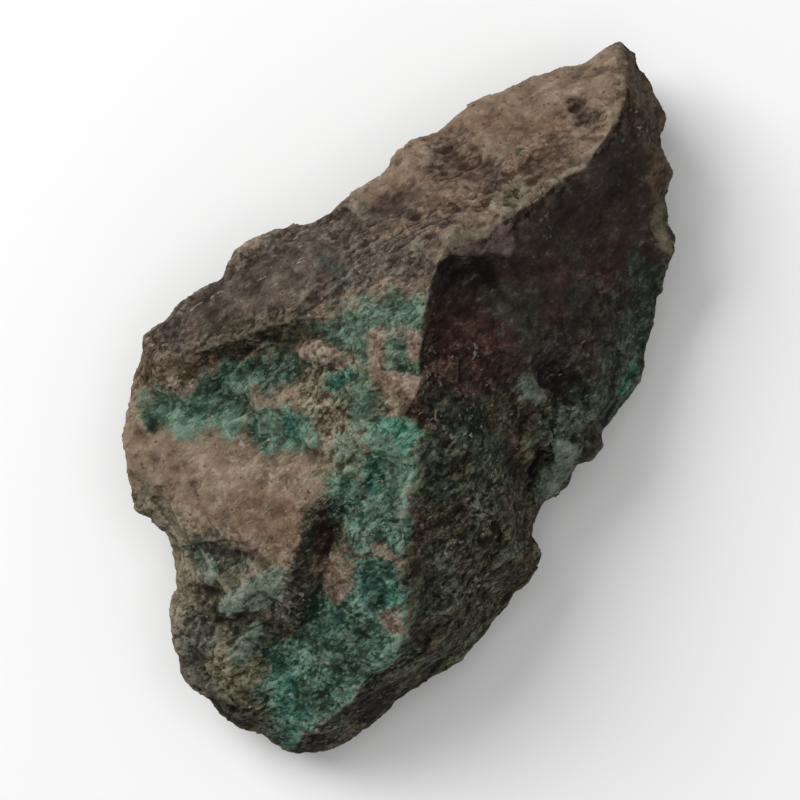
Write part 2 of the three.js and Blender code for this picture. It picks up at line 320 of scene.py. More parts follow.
NEAR_ROUNDS = 6
FAR_ROUNDS = 60
sketch_x = (places[:, 0] - SKETCH_ORIGIN.x) / SQUARE
sketch_y = (places[:, 1] - SKETCH_ORIGIN.y) / SQUARE
nearly = averaged(places, NEAR_ROUNDS)
broadly = averaged(nearly, FAR_ROUNDS)
facing_up = np.clip(normals[:, 2] * 2, 0, 1)
surface_values = {
    "proud_near": ((places - nearly) * normals).sum(1) * MM,
    "proud_far": ((nearly - broadly) * normals).sum(1) * MM,
    "pitted": zone(sketch_x, sketch_y, PITTED),
    "powdery": facing_up * zone(sketch_x, sketch_y, POWDERY, rise=1.5),
}
for layer_name, values in surface_values.items():
    layer = stone_mesh.attributes.new(layer_name, "FLOAT", "POINT")
    layer.data.foreach_set("value", values.astype(np.float32))


# The minerals that show on the break. The pale side of the crest is tan rock and the dark side is
# purple-brown and olive rock, and the others lie in patches on them. Some patches are partly or wholly
# painted shade or painted light: the wall shade, the notch shade, the shade in the black rock's gaps,
# under the ledge in the olive rock and in the dark teal, and the painted light in the pale teal.
# A patch is drawn as strokes on the sketch grid, each from one point to another with a width, and its
# border is made ragged later.
CREST = [
    (22.6, 40.0), (22.2, 35.0), (22.4, 30.5), (21.5, 27.8), (19.7, 25.2), (18.2, 23.0), (16.0, 21.6),
    (13.8, 20.0), (11.2, 18.2), (8.3, 16.0), (4.9, 14.6), (3.9, 13.4), (3.0, 11.6), (2.5, 9.4),
    (2.0, 7.4), (2.0, 5.0), (1.8, 2.2), (1.6, 0.0), (1.3, -3.0), (1.2, -6.0), (0.6, -10.0), (0.2, -14.0),
    (0.1, -18.0), (0.4, -22.0), (-0.3, -25.8), (-2.8, -27.6), (-5.2, -30.2), (-8.2, -32.6),
    (-11.0, -34.6), (-13.0, -38.0),
]
MINERALS = {
    "warm_slab": [(8, 28, 20, 32, 6.5), (0, 22, 12, 27, 5.5), (-4, 18, 6, 21, 3.0)],
    "rusty": [
        (8.0, 26.8, 10.0, 27.4, 1.8), (6.6, 7.2, 9.0, 6.6, 0.8), (-14.0, -11.0, -10.5, -12.5, 2.4),
        (12.0, 27.0, 15.0, 27.0, 1.2),
    ],
    "scratched": [
        (-17.0, -4.0, -8.0, -8.6, 2.6), (-20.0, -7.0, -14.0, -12.0, 2.2), (-21.0, 9.0, -10.0, 14.0, 1.2),
        (-3.0, -5.0, -1.0, -10.0, 1.4),
    ],
    "pale_crust": [(8.0, 15.9, 20.0, 24.9, 0.8), (-1.0, 13.0, 6.0, 15.0, 1.8), (0.6, 8.5, 2.4, 12.0, 1.3)],
    "grey_crust": [
        (-25.6, -10.6, -21.5, -15.0, 2.3), (-22.0, -16.6, -20.6, -21.0, 1.9),
        (-19.5, -18.0, -14.0, -24.0, 4.0), (9.4, 19.4, 12.6, 20.8, 0.9),
        (-19.6, -15.6, -18.6, -17.6, 1.2), (-17.0, -15.4, -13.0, -16.6, 1.0),
        (25.8, 18.4, 26.8, 15.6, 0.9),
    ],
    # darker patches, among them over the slab's hollow, the pit below the summit and the dent
    "darker_patch": [
        (4.6, 23.4, 8.2, 22.4, 2.3), (17.4, 29.0, 18.8, 28.0, 0.9), (13.0, 22.5, 16.0, 24.5, 1.4),
        (-3.0, 17.5, 2.0, 20.0, 1.6), (-8.6, 15.0, -6.4, 11.5, 1.8), (-11.2, 13.2, -9.0, 14.8, 1.3),
        (-18.4, 10.8, -17.4, 9.4, 1.2), (-24.0, 5.4, -22.4, 4.4, 1.2), (2.0, 17.0, 6.0, 18.6, 1.2),
        (-1.0, 15.4, 3.0, 15.8, 1.0),
    ],
    "brown_rock": [
        (-25.2, 4.8, -22.0, 1.2, 3.2), (-22, 4.5, -20.5, 3, 2.2), (-18.6, -30.6, -15.5, -32.2, 1.6),
        (23.8, 35.0, 24.8, 28.0, 2.4), (25.4, 28, 27.4, 20, 1.9), (0.2, 0.6, 1.0, -1.6, 0.9),
    ],
    "violet_rock": [
        (-21.5, 7.6, -12.0, 12.6, 3.4), (-13.5, 12.0, -5.5, 16.5, 3.6), (-9.5, 10.5, -4.5, 13.0, 2.8),
        (-3.5, 14.0, 0.5, 13.5, 2.4),
    ],
    "maroon_seam": [(-7.5, -11.4, -7.5, -14.6, 0.8), (0.8, -1.0, 2.2, -1.4, 0.7)],
    "violet_shelf": [(5.4, 15.2, 10.0, 15.3, 1.5)],
    "slate_rock": [
        (-20.2, -22.8, -19.6, -26.0, 2.5), (-20.0, -26.8, -17.0, -28.5, 2.4),
        (-16.8, -20.8, -14.6, -22.6, 1.6), (-19.6, -14.6, -16.8, -16.4, 1.8),
        (-7.0, 13.8, -5.4, 11.4, 0.9),
    ],
    # olive rock, partly painted shade: the first two strokes paint the shadow under the ledge of the
    # grey-violet band, and two thin ones darken the slots
    "olive_rock_and_ledge_shade": [
        (-17.5, 6.0, -10.0, 7.2, 2.1), (-9.6, 7.0, -6.8, 5.2, 1.4), (-16.5, -26.5, -13.0, -30.0, 2.8),
        (-14.5, -23.6, -12.2, -27.2, 1.8), (-14.2, -31.0, -12.6, -33.6, 1.8),
        (-14.0, 1.6, -11.8, 1.4, 0.9), (-20.2, -18.8, -18.4, -19.2, 0.6),
        (-16.2, -15.0, -14.0, -15.4, 0.5), (-17.5, -20.6, -12.5, -22.5, 1.8),
        (-12.4, -20.6, -10.6, -22.0, 1.4), (-7.0, -12.0, -4.0, -16.0, 2.6),
        (-3.0, -14.0, -1.2, -20.0, 1.8), (-11.5, -23.5, -4.0, -29.0, 3.4), (17.6, -4.8, 19.8, -5.2, 1.6),
    ],
    "bright_olive": [(-15.6, -27.4, -13.6, -31.4, 2.0)],
    "yellow_vein": [
        (-2.8, 0.6, -1.4, -0.8, 1.0), (-8.6, 3.2, -7.6, -1.0, 1.7), (-7.6, -1.0, -5.8, -5.6, 2.1),
        (-5.6, 0.5, -4.6, -3.0, 1.2), (-17.6, -25.6, -17.2, -28.8, 1.2),
    ],
    "maroon": [
        (3.4, 7.0, 9.0, 6.0, 2.3), (3.2, 3.0, 7.5, 2.6, 2.0), (16.0, 12.8, 20.0, 12.0, 1.4),
        (10.8, -3.6, 11.4, -4.6, 0.9), (0.8, -10.8, 1.6, -14.4, 1.3), (1.6, -0.6, 2.4, -1.6, 0.9),
    ],
    # black rock, partly painted shade: black painted into the gap beside the flake and the green hollow
    "black_rock_and_gap_shade": [
        (-19.0, -30.8, -15.5, -32.0, 1.2), (14.8, 2.6, 17.6, 0.6, 1.7), (13.8, -4.6, 12.9, -8.8, 0.5),
        (-21.4, -22.1, -16.0, -21.5, 0.3), (-8.6, -26.5, -10.5, -24.5, 1.2),
        (-7.0, -28.5, -1.5, -31.0, 2.0), (-10.4, -35.2, -8.8, -34.4, 1.3),
    ],
    # painted shade: the groove wall faces away from the light, and its shade is painted as a near-black
    # patch
    "painted_wall_shade": [
        (-7.8, -10.4, -9.4, -15.0, 1.05), (-9.4, -15.0, -10.6, -21.4, 1.1),
        (-10.6, -21.0, -11.4, -23.0, 0.8),
    ],
    "blue_black": [(3.8, 0.6, 7.0, -2.4, 1.9)],
    "notch_shade": [(4.6, 12.7, 8.6, 12.5, 1.5), (3.4, 11.0, 4.6, 12.0, 1.0)],
    # dark teal, partly painted shade: the stroke under the ledge and the one below the crest darken teal as
    # shade
    "dark_teal_and_shade": [
        (-12.6, 3.5, -10.6, 3.7, 2.0), (-7.5, -24.2, -4.4, -26.4, 1.9), (-12.6, -24.4, -11.6, -26.2, 1.1),
        (-9.0, -21.2, -6.6, -23.0, 1.2), (-4.4, -10.4, -2.8, -11.4, 1.0), (-9.4, -29.0, -7.4, -30.6, 1.2),
        (-19.6, 1.6, -17.0, 1.0, 0.8), (-24.6, -2.6, -24.2, -2.6, 0.6), (-3.2, -13.4, -2.0, -13.6, 0.9),
        (-4.2, -21.8, -2.8, -22.2, 0.8), (-1.2, -9.2, -0.4, -11.2, 0.8),
        (-12.2, -33.4, -11.8, -34.2, 0.8),
    ],
    "blue_facet": [
        (-3.4, -16.4, -0.9, -16.2, 0.6), (-3.4, -17.6, -0.8, -17.4, 0.9), (-3.4, -18.9, -0.8, -19.2, 0.9),
        (-2.8, -19.8, -0.7, -20.1, 0.5), (-6.8, -21.4, -8.2, -23.0, 1.2),
    ],
    # pale teal, partly painted light: paler teal on the trough's floor and nearby teal that the light falls
    # on
    "pale_teal_and_painted_light": [
        (-24.0, -0.9, -17.0, -1.2, 2.0), (-18.6, 0.2, -15.8, 1.6, 1.2), (-16.4, 2.8, -15.6, 2.4, 0.9),
        (-12.6, -2.2, -10.3, -3.4, 1.6), (-1.4, -3.6, 0.4, -7.4, 1.5), (-2.8, -8.4, -2.4, -10.2, 1.0),
        (-11.3, -27.0, -10.6, -31.0, 1.1), (-6.2, 2.0, -6.2, 1.9, 0.8),
    ],
    "pink_block": [
        (-2.2, 6.2, -2.2, 3.6, 0.85), (1.2, 6.3, 1.5, 4.2, 0.75), (-1.6, 1.7, 1.8, 1.3, 0.6),
        (-7.2, -16.5, -5.4, -16.7, 1.1), (-6.8, -18.2, -5.6, -18.6, 1.2),
        (-2.4, -14.5, -0.6, -15.0, 0.55), (-1.2, -21.0, -0.2, -22.4, 0.85), (-8.8, 5.0, -7.2, 4.6, 1.0),
        (-21.8, 1.6, -21.2, 1.4, 0.8),
    ],
    "green_wash": [
        (-6.4, 6.2, -3.0, 8.2, 2.0), (-3.0, 8.2, 1.6, 8.0, 2.0), (-4.5, 5.0, -2.8, 4.6, 1.4),
        (-0.2, 5.2, 1.0, 2.6, 1.3), (-4.4, 1.8, -2.8, -2.4, 1.5), (-1.0, 4.2, 0.2, 2.8, 0.9),
    ],
    "pale_green": [
        (-17.0, -20.4, -11.6, -17.4, 1.15), (-15.0, -19.8, -12.0, -18.6, 1.1),
        (16.7, -5.0, 14.6, -9.2, 1.4), (-5.0, -4.5, -3.2, -9.0, 1.5), (23.4, 4.4, 22.8, 3.6, 1.0),
        (-19.6, -15.8, -18.8, -17.4, 1.0), (-16.2, -25.6, -14.4, -23.0, 0.9), (12.4, 1.8, 13.6, 0.2, 0.8),
    ],
    "faint_green": [
        (10.8, 10.0, 12.0, 7.0, 1.8), (13.5, 6.5, 16.0, 5.0, 1.6), (20.0, 8.5, 24.0, 6.0, 2.2),
        (17.0, 13.0, 19.0, 9.0, 1.6),
    ],
    "dull_green": [
        (17.0, -1.5, 20.5, 0.5, 1.8), (6.8, -4.0, 9.0, -5.2, 1.8), (3.4, -5.5, 4.4, -9.0, 1.6),
        (24.0, 13.0, 26.5, 10.5, 1.6), (24.6, 9.0, 21.0, -2.0, 2.4),
    ],
    "flecked": [
        (6.6, -2.0, 8.2, -5.5, 2.1), (8.0, -10.0, 9.0, -13.0, 1.8), (5.6, -15.0, 7.5, -19.0, 2.4),
        (1.8, 5.0, 2.6, -1.0, 1.4), (7.0, 5.2, 7.8, 4.8, 0.7), (0.6, 2.0, 2.4, 0.6, 1.2),
        (-5.0, -5.0, -4.4, -9.5, 1.6), (-17.0, -4.0, -8.0, -8.6, 2.2), (-9.0, -18.0, -11.0, -21.0, 1.6),
        (13.6, 16.8, 14.4, 16.0, 0.8), (23.2, 28.4, 24.0, 27.0, 0.8),
    ],
    "chrysocolla": [
        (-24.4, -1.4, -21.5, -1.8, 1.2), (-21.0, -0.8, -16.6, -0.9, 1.9), (-19.2, 0.8, -16.0, 1.6, 1.4),
        (-16.6, 2.6, -11.6, 3.0, 1.3), (-14.4, -3.0, -12.8, -4.0, 1.0), (-12.2, -2.4, -10.2, -3.2, 1.7),
        (-6.2, 2.0, -6.1, 1.9, 1.15), (-1.5, -3.6, 0.6, -6.8, 1.9), (-1.8, -6.5, -0.8, -11.5, 1.9),
        (-5.6, -9.2, -1.2, -12.0, 2.1), (-3.6, -13.0, -1.0, -13.5, 1.6), (-3.6, -16.9, -1.0, -19.2, 1.6),
        (-7.6, -20.8, -2.4, -23.0, 3.0), (-10.0, -25.6, -3.4, -26.0, 3.0),
        (-11.0, -29.0, -6.0, -29.6, 2.8), (-11.8, -32.6, -10.6, -34.4, 1.4),
        (-10.8, -31.5, -8.8, -32.0, 1.5), (24.4, 5.2, 22.0, 0.6, 1.3), (-5.2, -16.2, -4.6, -16.8, 0.9),
        (-4.8, -19.8, -2.0, -20.6, 1.2),
    ],
    "bright_chrysocolla": [
        (-6.2, 2.0, -6.1, 1.9, 1.05), (-0.6, -2.8, 1.0, -4.0, 1.2), (-10.7, -2.0, -10.2, -3.4, 0.5),
        (-2.6, -5.6, -2.7, -8.0, 0.7), (-1.2, -18.6, -0.7, -19.8, 0.8), (-5.0, -18.4, -4.2, -18.8, 0.7),
        (-11.6, -26.8, -10.6, -30.6, 1.4), (-9.8, -31.0, -9.4, -31.2, 0.7),
        (-11.2, -33.2, -10.6, -34.4, 0.9), (-8.2, -21.6, -6.8, -23.2, 1.1),
        (-4.4, -10.0, -3.6, -11.0, 0.8), (-12.8, -25.0, -11.8, -26.2, 0.9), (23.4, 3.2, 22.6, 1.2, 0.8),
    ],
}


def side_of_crest(x, y):
    """Distance to the crest in squares, above zero on the dark side."""
    nearest = np.full(len(x), 1e9)
    side = np.ones(len(x))
    for (x1, y1), (x2, y2) in zip(CREST, CREST[1:]):
        gap = distance_to_line(x, y, x1, y1, x2, y2)
        beyond = (x - x1) * (y2 - y1) - (y - y1) * (x2 - x1)
        side = np.where(gap < nearest, np.sign(-beyond), side)
        nearest = np.minimum(nearest, gap)
    return nearest * side


# Seams of the same minerals run on where the photograph doesn't show the stone
SEAM_SIZE = 14
SEAM_SHIFT = Vector((5, 1, 9))
wander = np.array([noise.turbulence_vector(Vector(p) * MM / 4.0, 3, False) for p in places])
shown = np.clip((normals[:, 2] + 0.15) / 0.3, 0, 1)
seam_points = [in_layers(Vector(p) * MM) / SEAM_SIZE + SEAM_SHIFT for p in places]
hidden_seams = np.array([noise.fractal(point, 1, 2, 3) for point in seam_points])

# The crest is a sharp border of the minerals, except in the green trough at its middle
crest_distance = side_of_crest(sketch_x + 0.3 * wander[:, 0], sketch_y + 0.3 * wander[:, 1])
sharp_crest = (sketch_y > 0) | (sketch_y < -24)
crest_grip = np.where(sharp_crest, 4.0, 1.0)
crest_slack = np.where(sharp_crest, 0.1, 0.5)

# Patches that keep to one side of the crest, and patches with a cleaner border than the rest
PALE_SIDE = (
    "warm_slab", "pale_crust", "violet_rock", "darker_patch", "green_wash", "chrysocolla", "pale_teal_and_painted_light",
    "pink_block",
)
DARK_SIDE = ("violet_shelf", "maroon", "notch_shade", "faint_green", "blue_black")
CLEAN_EDGED = ("blue_facet", "pale_green", "black_rock_and_gap_shade", "painted_wall_shade", "maroon_seam", "notch_shade")
fields = {"dark_side": np.clip(crest_distance / 2, -1, 1)}
for mineral_name, strokes in MINERALS.items():
    loose = 0.35 if mineral_name in CLEAN_EDGED else 0.75
    drifted_x = sketch_x + loose * wander[:, 0]
    drifted_y = sketch_y + loose * wander[:, 1]
    field = stroke_field(drifted_x, drifted_y, strokes)
    if mineral_name in PALE_SIDE:
        field = np.minimum(field, crest_slack - crest_grip * crest_distance)
    if mineral_name in DARK_SIDE:
        field = np.minimum(field, 0.3 + crest_grip * crest_distance)
    fields[mineral_name] = field
hidden = {
    "dark_side": hidden_seams * 3,
    "brown_rock": 0.5 - 3 * hidden_seams,
    "chrysocolla": 1.6 * (np.abs(hidden_seams) < 0.02) - 1.0,
}
for mineral_name, field in fields.items():
    field = field * shown + hidden.get(mineral_name, -1) * (1 - shown)
    layer = stone_mesh.attributes.new(mineral_name, "FLOAT", "POINT")
    layer.data.foreach_set("value", np.clip(field, -1, 1).astype(np.float32))


# The stone's colour and lustre. Each mineral has shades of its own, mottled by small flakes, grain
# and painted shade that makes proud places lighter and hollows darker, and its border follows them too.
# Painted shade and dust sit in the hollows, painted glints lie on the rock, pale veinlets and dark cracks
# cross the rock, and the flakes that are too fine for the mesh are raised by bump.
def srgb(red, green, blue):
    channels = [value / 255 for value in (red, green, blue)]
    return tuple(c / 12.92 if c <= 0.04045 else ((c + 0.055) / 1.055) ** 2.4 for c in channels) + (1,)


material = bpy.data.materials.new("weathered copper ore")
material.use_nodes = True
tree = material.node_tree
tree.nodes.clear()


def add_node(kind, inputs=None, **settings):
    made = tree.nodes.new(kind)
    for key, value in settings.items():
        setattr(made, key, value)
    for key, value in (inputs or {}).items():
        if isinstance(value, bpy.types.NodeSocket):
            tree.links.new(value, made.inputs[key])
        else:
            made.inputs[key].default_value = value
    return made


def calculate(operation, *values):
    return add_node("ShaderNodeMath", dict(enumerate(values)), operation=operation).outputs[0]


def product(*values):
    total = values[0]
    for value in values[1:]:
        total = calculate("MULTIPLY", total, value)
    return total


def weighted(*pairs, start=0.0):
    total = start
    for value, weight in pairs:
        total = calculate("MULTIPLY_ADD", value, weight, total)
    return total


def remap(value, low, high, to_low=0.0, to_high=1.0):
    inputs = {"Value": value, "From Min": low, "From Max": high, "To Min": to_low, "To Max": to_high}
    return add_node("ShaderNodeMapRange", inputs, interpolation_type="SMOOTHSTEP").outputs["Result"]


def vector_maths(operation, *values):
    return add_node("ShaderNodeVectorMath", dict(enumerate(values)), operation=operation).outputs


def mapped(vector, **settings):
    return add_node("ShaderNodeMapping", {"Vector": vector, **settings}).outputs[0]


def grain(vector, scale, detail, roughness, distortion=0.0):
    inputs = {"Vector": vector, "Scale": scale, "Detail": detail}
    inputs |= {"Roughness": roughness, "Distortion": distortion}
    return add_node("ShaderNodeTexNoise", inputs).outputs["Fac"]


def flakes(vector, scale):
    """Random values, one for each small cell."""
    cells = add_node("ShaderNodeTexVoronoi", {"Vector": vector, "Scale": scale}).outputs
    return add_node("ShaderNodeSeparateColor", {"Color": cells["Color"]}).outputs


def dots(vector, scale, share, radius):
    """Small uneven spots in a share of the cells."""
    cells = add_node("ShaderNodeTexVoronoi", {"Vector": vector, "Scale": scale}).outputs
    chance = add_node("ShaderNodeSeparateColor", {"Color": cells["Color"]}).outputs[2]
    chosen = remap(chance, 1 - share, 1.004 - share)
    return product(chosen, remap(cells["Distance"], radius, 0.6 * radius))


def facets(vector, scale):
    """Heights of small flat flakes, each tilted its own way."""
    cells = add_node("ShaderNodeTexVoronoi", {"Vector": vector, "Scale": scale}).outputs
    tilt = vector_maths("SUBTRACT", cells["Color"], HALF)[0]
    across = vector_maths("SUBTRACT", vector, cells["Position"])[0]
    return vector_maths("DOT_PRODUCT", tilt, across)["Value"]


def blend(share, below, above, kind="MIX"):
    made = add_node("ShaderNodeMix", {"Factor": share}, data_type="RGBA", blend_type=kind)
    for slot_index, value in ((6, below), (7, above)):
        if isinstance(value, bpy.types.NodeSocket):
            tree.links.new(value, made.inputs[slot_index])
        else:
            made.inputs[slot_index].default_value = value
    return made.outputs[2]


def shades(value, *stops):
    made = add_node("ShaderNodeValToRGB", {"Fac": value})
    ramp = made.color_ramp
    while len(ramp.elements) < len(stops):
        ramp.elements.new(0.5)
    for element, (position, colour) in zip(ramp.elements, stops):
        element.position = position
        element.color = colour
    return made.outputs["Color"]


def measured(name):
    return add_node("ShaderNodeAttribute", attribute_name=name).outputs["Fac"]


# Places in mm: level ones, ones turned along the layers, and ones bent a little so that no row shows
place = add_node("ShaderNodeTexCoord").outputs["Object"]
in_mm = mapped(place, Scale=(MM, MM, 0.6 * MM))
turned = mapped(in_mm, Rotation=(0, 0, -LAYER_ANGLE))
along_layers = mapped(turned, Scale=(0.8, 1, 1))
wobble = add_node("ShaderNodeTexNoise", {"Vector": in_mm, "Scale": 1.1, "Detail": 3.0}).outputs["Color"]
wobble_mm = vector_maths("SUBTRACT", wobble, HALF)[0]
bent = vector_maths("MULTIPLY_ADD", wobble_mm, HALF, along_layers)[0]
splinter_place = mapped(bent, Scale=(0.55, 1.1, 0.8))
across_layers = mapped(bent, Scale=(1.0, 0.42, 1.0))
streak_place = mapped(turned, Scale=(0.42, 2.0, 1))

# Grain and flakes of every size, as shades of grey
broad = grain(along_layers, 0.16, 3, 0.55)
middle = grain(along_layers, 0.55, 5, 0.6)
fine = grain(in_mm, 1.5, 4, 0.7)
finest = grain(in_mm, 4.5, 2, 0.6)
large_flakes = flakes(bent, 0.62)
small_flakes = flakes(bent, 1.5)
tiny_flakes = flakes(bent, 3.4)
splinters = flakes(splinter_place, 2.3)
crust = remap(grain(bent, 0.9, 4, 0.65), 0.47, 0.53)
near = measured("proud_near")
far = measured("proud_far")
powdery = measured("powdery")
gritty = remap(powdery, 0.0, 1.0, 1.0, 0.5)

# How light each place is within its mineral, with painted shade from the relief (proud places lighter,
# hollows darker), and how each border strays
soft_tone_and_relief_shade = weighted((middle, 0.55), (broad, 0.25), (near, 0.3), (far, 0.06), start=-0.4)
gritty_part = weighted(
    (fine, 0.16), (finest, 0.08), (large_flakes[0], 0.14), (small_flakes[0], 0.22), (tiny_flakes[0], 0.17),
    (splinters[0], 0.17), (crust, 0.04), start=-0.49,
)
mottle_and_relief_shade = weighted((gritty_part, gritty), (soft_tone_and_relief_shade, 1.0), start=0.5)
ragged = weighted(
    (middle, 1.3), (fine, 0.5), (large_flakes[1], 0.5), (small_flakes[1], 0.45), (crust, 0.15), start=-1.45,
)

SHADE_STOPS = (0.3, 0.41, 0.5, 0.59, 0.7)
STUDIO_GAIN = (1.11, 1.15, 1.23)


def rock_shades(*colours):
    """Five shades as the photograph shows them, less what the brighter studio light adds."""
    stops = []
    for stop, colour in zip(SHADE_STOPS, colours):
        channels = tuple(channel / gain for channel, gain in zip(srgb(*colour), STUDIO_GAIN))
        stops.append((stop, channels + (1,)))
    return shades(mottle_and_relief_shade, *stops)


def lay(colour_below, name, colours, ragged_share, softness, strength, reach=0.0):
    edge = weighted((ragged, ragged_share), (measured(name), 1.0), start=reach)
    share = product(remap(edge, -softness, softness), strength)
    return blend(share, colour_below, rock_shades(*colours))


# The rock under the patches: tan on the pale side of the crest, purple and olive on the dark side
tan_rock = rock_shades((84, 69, 56), (107, 92, 77), (121, 104, 90), (132, 115, 100), (150, 135, 120))
purple_rock = rock_shades((34, 24, 20), (43, 33, 29), (49, 39, 35), (56, 46, 42), (70, 60, 56))
grey_olive_rock = rock_shades((18, 21, 13), (34, 38, 28), (51, 56, 43), (70, 76, 62), (108, 114, 100))
brown_olive_rock = rock_shades((24, 20, 11), (43, 37, 24), (61, 54, 38), (78, 71, 54), (106, 100, 84))
green_olive_rock = rock_shades((19, 23, 8), (37, 42, 20), (55, 60, 34), (72, 78, 50), (106, 112, 90))
dark_olive_rock = blend(remap(broad, 0.46, 0.56), brown_olive_rock, grey_olive_rock)
dark_olive_rock = blend(remap(middle, 0.55, 0.65), dark_olive_rock, green_olive_rock)
height_on_sheet = add_node("ShaderNodeSeparateXYZ", {"Vector": in_mm}).outputs["Y"]
lower_edge = weighted((ragged, 6.0), (height_on_sheet, -1.0))
olive_share = remap(lower_edge, -7.0, 3.0)
dark_rock = blend(olive_share, purple_rock, dark_olive_rock)
low_down = remap(height_on_sheet, 2.0, -8.0)
above_the_tip = remap(height_on_sheet, -40.0, -34.0, 0.15, 1.0)
crest_strays = product(ragged, low_down, above_the_tip)
dark_edge = weighted((crest_strays, 0.7), (ragged, 0.2), (measured("dark_side"), 1.0))
dark_share = remap(dark_edge, -0.04, 0.04)
colour = blend(dark_share, tan_rock, dark_rock)

# Five shades of each mineral, from its dark flakes to its pale ones
SHADES = {
    "warm_slab": [(92, 72, 58), (110, 93, 79), (122, 104, 90), (132, 114, 99), (150, 134, 120)],
    "rusty": [(86, 62, 48), (100, 77, 62), (110, 87, 71), (118, 96, 80), (132, 112, 96)],
    "pale_crust": [(72, 62, 52), (89, 79, 68), (103, 93, 81), (113, 104, 92), (132, 124, 112)],
    "grey_crust": [(82, 78, 62), (102, 96, 80), (114, 108, 92), (124, 118, 102), (142, 136, 122)],
    "darker_patch": [(44, 33, 28), (58, 46, 40), (72, 58, 51), (88, 74, 66), (112, 98, 88)],
    "brown_rock": [(36, 27, 18), (55, 43, 31), (71, 58, 44), (87, 73, 58), (106, 92, 77)],
    "violet_rock": [(46, 38, 34), (62, 53, 48), (75, 66, 60), (86, 77, 71), (108, 100, 93)],
    "violet_shelf": [(52, 39, 35), (74, 60, 55), (90, 75, 70), (103, 88, 83), (124, 111, 105)],
    "slate_rock": [(28, 32, 26), (44, 48, 41), (60, 64, 55), (73, 77, 68), (98, 100, 90)],
    "olive_rock_and_ledge_shade": [(20, 21, 11), (34, 34, 22), (47, 46, 32), (62, 61, 45), (84, 82, 64)],
    "bright_olive": [(32, 32, 15), (50, 50, 29), (66, 66, 43), (80, 80, 56), (104, 104, 82)],
    "yellow_vein": [(44, 37, 23), (80, 76, 58), (104, 100, 81), (122, 118, 100), (148, 145, 128)],
    "black_rock_and_gap_shade": [(18, 16, 11), (25, 23, 17), (32, 29, 22), (41, 37, 30), (60, 56, 48)],
    "notch_shade": [(20, 12, 10), (27, 18, 15), (33, 24, 21), (41, 32, 28), (58, 48, 44)],
    "blue_black": [(11, 14, 11), (17, 22, 18), (22, 28, 24), (29, 36, 31), (54, 62, 57)],
    "maroon": [(34, 17, 14), (49, 27, 23), (61, 37, 32), (72, 48, 42), (98, 78, 71)],
    "faint_green": [(26, 32, 25), (34, 42, 34), (42, 52, 43), (52, 62, 53), (70, 80, 71)],
    "green_wash": [(34, 54, 43), (50, 76, 63), (66, 95, 81), (79, 110, 95), (104, 132, 117)],
    "pale_green": [(64, 80, 67), (86, 101, 87), (99, 114, 100), (110, 125, 111), (130, 143, 130)],
    "dull_green": [(24, 34, 26), (34, 46, 37), (42, 58, 48), (56, 74, 63), (86, 102, 92)],
    "chrysocolla": [(26, 48, 38), (46, 75, 62), (68, 102, 87), (88, 123, 108), (118, 146, 134)],
    "pale_teal_and_painted_light": [(58, 82, 69), (76, 103, 89), (91, 118, 103), (103, 130, 115), (124, 148, 134)],
    "blue_facet": [(16, 36, 32), (28, 52, 47), (38, 66, 61), (50, 82, 76), (76, 106, 98)],
    "bright_chrysocolla": [(24, 62, 53), (40, 88, 75), (56, 108, 93), (76, 126, 110), (108, 150, 135)],
    "dark_teal_and_shade": [(20, 35, 25), (28, 44, 33), (38, 54, 42), (50, 68, 56), (76, 96, 84)],
    "painted_wall_shade": [(25, 23, 16), (37, 37, 28), (50, 50, 41), (64, 63, 54), (94, 94, 84)],
    "maroon_seam": [(30, 16, 13), (38, 23, 20), (44, 28, 25), (54, 38, 34), (80, 64, 58)],
    "pink_block": [(83, 66, 57), (107, 90, 79), (122, 105, 95), (135, 119, 109), (154, 142, 131)],
    "greenish_tan": [(48, 50, 38), (72, 75, 61), (88, 93, 78), (102, 107, 92), (126, 130, 116)],
}

# How each patch lies on the ones before it: how ragged its border is, how soft, and how well it covers
PATCHES = {
    "warm_slab": (0.8, 0.6, 0.9),
    "rusty": (0.8, 0.7, 0.75),
    "pale_crust": (0.9, 0.5, 0.75),
    "grey_crust": (0.9, 0.5, 0.85),
    "darker_patch": (1.3, 0.7, 0.88),
    "brown_rock": (0.8, 0.4, 0.9),
    "violet_rock": (0.8, 0.4, 0.9),
    "violet_shelf": (0.8, 0.3, 0.9),
    "slate_rock": (0.9, 0.35, 0.9),
    "olive_rock_and_ledge_shade": (0.9, 0.4, 0.85),
    "bright_olive": (0.9, 0.35, 0.9),
    "yellow_vein": (0.8, 0.3, 0.9),
    "black_rock_and_gap_shade": (0.4, 0.14, 0.9),
    "notch_shade": (0.5, 0.2, 0.85),
    "blue_black": (0.9, 0.5, 0.95),
    "maroon": (1.0, 0.6, 0.85),
    "faint_green": (1.2, 0.7, 0.4),
    "green_wash": (1.0, 0.65, 0.92),
    "pale_green": (0.5, 0.1, 0.92),
    "dull_green": (1.3, 0.6, 0.7),
    "chrysocolla": (0.8, 0.22, 0.95),
    "pale_teal_and_painted_light": (1.0, 0.4, 0.9),
    "blue_facet": (0.5, 0.15, 0.95),
    "bright_chrysocolla": (1.0, 0.35, 0.95),
    "dark_teal_and_shade": (1.2, 0.5, 0.85),
    "painted_wall_shade": (0.8, 0.15, 0.95),
    "maroon_seam": (0.6, 0.25, 0.9),
    "pink_block": (0.8, 0.2, 0.9),
}
for patch_name, (ragged_share, softness, strength) in PATCHES.items():
    if patch_name == "chrysocolla":
        colour = lay(colour, patch_name, SHADES["greenish_tan"], 0.9, 0.5, 0.75, reach=0.45)
    colour = lay(colour, patch_name, SHADES[patch_name], ragged_share, softness, strength)

